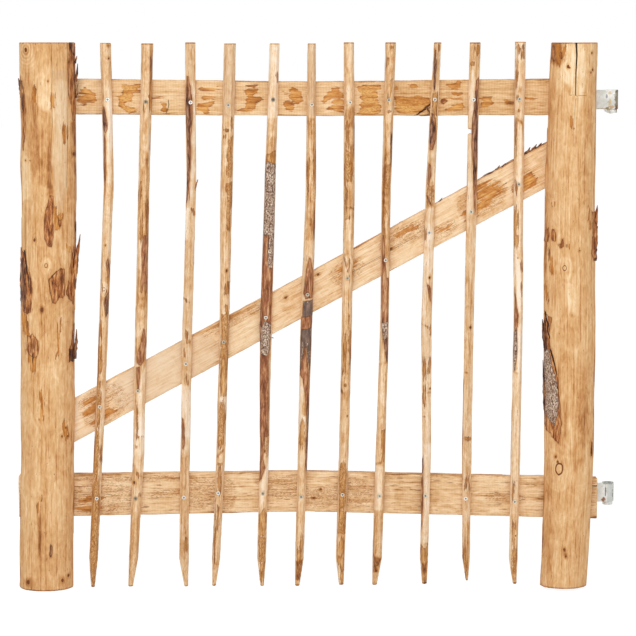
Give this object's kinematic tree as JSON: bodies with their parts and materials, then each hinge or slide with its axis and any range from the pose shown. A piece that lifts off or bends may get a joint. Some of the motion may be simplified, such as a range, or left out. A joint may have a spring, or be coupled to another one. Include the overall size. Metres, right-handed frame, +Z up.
{
  "type": "garden gate",
  "caption": "Rustic garden gate leaf of half-round posts, sawn rails, a diagonal brace and split pickets, swinging on rolled-eye strap hinges over drive-in gate hooks.",
  "frame": {"origin": "on the lower gate hook's shank axis, where the shank enters the gate post's face; the swing axis stands 24 mm in front of it", "axes": "+Z up along the swing axis, +Y from the leaf's front to the gate post, +X along the rails from the latch side to the hinge side, so that the closed leaf lies towards -X"},
  "size_m": [1.0977, 0.1857, 1.001],
  "materials": {
    "post_wood": "peeled half-round wood, weathered, with bark remnants",
    "rail_wood": "rough sawn board, weathered",
    "picket_wood": "split stick, peeled, with bark remnants",
    "galvanised_steel": "hot-dip galvanised, dull, with some rust bloom",
    "zinc_screw": "zinc plated, dulled"
  },
  "bodies": {
    "hinge_hooks": {"upper_hook": "galvanised_steel", "lower_hook": "galvanised_steel"},
    "leaf": {"left_post": "post_wood", "right_post": "post_wood", "top_rail": "rail_wood", "bottom_rail": "rail_wood", "brace": "rail_wood", "picket_01": "picket_wood", "picket_02": "picket_wood", "picket_03": "picket_wood", "picket_04": "picket_wood", "picket_05": "picket_wood", "picket_06": "picket_wood", "picket_07": "picket_wood", "picket_08": "picket_wood", "picket_09": "picket_wood", "picket_10": "picket_wood", "picket_11": "picket_wood", "picket_screws_top": "zinc_screw", "picket_screws_brace": "zinc_screw", "picket_screws_bottom": "zinc_screw", "post_screws": "zinc_screw", "upper_strap": "galvanised_steel", "lower_strap": "galvanised_steel", "coach_screws": "galvanised_steel", "strap_screws": "galvanised_steel"}
  },
  "joints": [
    {"name": "gate_swing", "type": "hinge", "parent": "hinge_hooks", "child": "leaf", "pos_m": [0, -0.024, 0], "axis": [0, 0, 1], "range_deg": [0, 150]}
  ]
}
